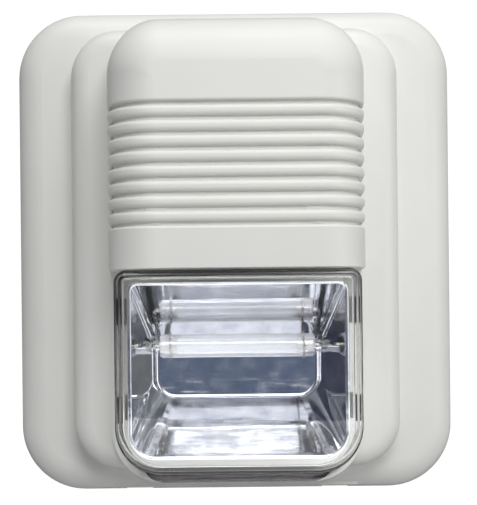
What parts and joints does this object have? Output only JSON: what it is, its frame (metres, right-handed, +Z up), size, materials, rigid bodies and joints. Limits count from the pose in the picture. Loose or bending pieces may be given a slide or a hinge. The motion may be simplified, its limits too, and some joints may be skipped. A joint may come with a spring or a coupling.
{
  "type": "alarm siren",
  "caption": "Wall alarm siren: stepped white plastic cover with a ribbed sounder dome over a clear strobe lens and mirrored reflector, pulling off a screwed back plate.",
  "frame": {"origin": "middle of the rear face that rests on the wall", "axes": "+Y into the wall, -Y out of the siren's front, +Z up, +X to the right seen from the front"},
  "size_m": [0.1146, 0.054, 0.1266],
  "materials": {
    "white_abs": "satin moulded ABS, warm light grey white",
    "black_foam": "closed-cell foam sheet",
    "black_rubber": "matt moulded rubber",
    "zinc_steel": "zinc-plated steel",
    "nickel_brass": "nickel-plated brass",
    "nickel": "nickel wire",
    "spring_steel": "spring steel wire",
    "clear_polycarbonate": "polished clear polycarbonate",
    "tube_glass": "clear fused glass",
    "grey_silicone": "soft translucent silicone",
    "chromed_plastic": "vacuum-metallised mirror",
    "black_plastic": "moulded black plastic",
    "white_nylon": "natural nylon",
    "cone_film": "pressed film cone",
    "brass": "thin brass sheet",
    "ceramic": "silvered ceramic",
    "lead_insulation": "red insulation",
    "green_board": "green solder mask on glass fibre laminate",
    "terminal_green": "green terminal housing",
    "capacitor_sleeve": "dark shrink sleeve",
    "ferrite": "sintered ferrite",
    "copper_winding": "varnished winding under amber tape",
    "black_epoxy": "moulded epoxy",
    "heatsink_aluminium": "bent aluminium strip",
    "resistor_body": "tan lacquer"
  },
  "bodies": {
    "back": {"back_plate": "white_abs", "wall_gasket": "black_foam", "cable_grommet": "black_rubber", "lock_screws": "zinc_steel"},
    "cover": {"front_housing": "white_abs", "strobe_lens": "clear_polycarbonate", "lens_gasket": "grey_silicone", "reflector": "chromed_plastic", "reflector_screws": "zinc_steel", "flash_tube": "tube_glass", "tube_electrodes": "nickel", "tube_sleeves": "grey_silicone", "trigger_wire": "nickel", "sounder_housing": "black_plastic", "sounder_ring": "black_plastic", "sounder_leads": "lead_insulation", "sounder_screws": "zinc_steel", "circuit_board": "green_board", "board_screws": "zinc_steel", "terminal_block": "terminal_green", "terminal_cages": "nickel_brass", "terminal_screws": "zinc_steel", "flash_capacitor": "capacitor_sleeve", "filter_capacitor": "capacitor_sleeve", "transformer_core": "ferrite", "transformer_coil": "copper_winding", "trigger_coil": "copper_winding", "sounder_inductor": "ferrite", "power_transistor": "black_epoxy", "heatsink": "heatsink_aluminium", "control_chip": "black_epoxy", "resistors": "resistor_body", "diodes": "black_epoxy", "tamper_switch": "black_plastic"},
    "plunger": {"tamper_plunger": "white_nylon", "tamper_spring": "spring_steel"},
    "cone": {"sounder_cone": "cone_film", "piezo_plate": "brass", "piezo_ceramic": "ceramic"}
  },
  "joints": [
    {"name": "cover_pull", "type": "slide", "parent": "back", "child": "cover", "axis": [0, -1, 0], "range_m": [0, 0.07]},
    {"name": "tamper_press", "type": "slide", "parent": "cover", "child": "plunger", "axis": [0, 1, 0], "range_m": [0, 0.0018], "stiffness_N_per_m": 180, "springref_m": 0.0035, "deforming": ["tamper_spring"]},
    {"name": "cone_vibration", "type": "slide", "parent": "cover", "child": "cone", "axis": [0, 1, 0], "range_m": [-0.0003, 0.0003], "stiffness_N_per_m": 2000}
  ]
}
